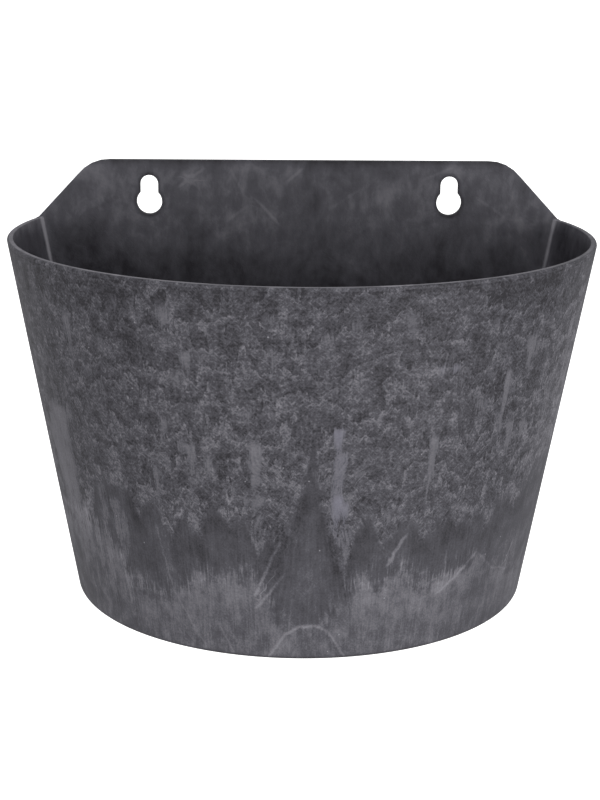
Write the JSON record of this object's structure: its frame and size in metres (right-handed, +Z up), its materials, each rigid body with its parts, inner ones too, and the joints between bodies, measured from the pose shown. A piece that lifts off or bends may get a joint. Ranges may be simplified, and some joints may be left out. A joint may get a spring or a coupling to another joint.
{
  "type": "hanging wall vase",
  "caption": "Half-round tapered wall vase with a raised back plate, keyholes for hanging, a lift-out drainage insert and a sealed drain plug.",
  "frame": {"origin": "middle of the flat back, in the wall's plane, at the height of the foot", "axes": "+X to the viewer's right, +Y into the wall, the round front faces -Y, +Z up"},
  "size_m": [0.31, 0.2066, 0.225],
  "materials": {
    "stone_compound": "matte",
    "insert_plastic": "matte",
    "plug_plastic": "satin",
    "seal_rubber": "matte"
  },
  "bodies": {
    "vase": {"planter_shell": "stone_compound"},
    "insert": {"drainage_insert": "insert_plastic"},
    "plug": {"drain_plug": "plug_plastic", "plug_seal_ring": "seal_rubber"}
  },
  "joints": [
    {"name": "insert_lift", "type": "slide", "parent": "vase", "child": "insert", "axis": [0, 0, 1], "range_m": [0, 0.24]},
    {"name": "plug_pull", "type": "slide", "parent": "vase", "child": "plug", "axis": [0, 0, -1], "range_m": [0, 0.03]}
  ]
}
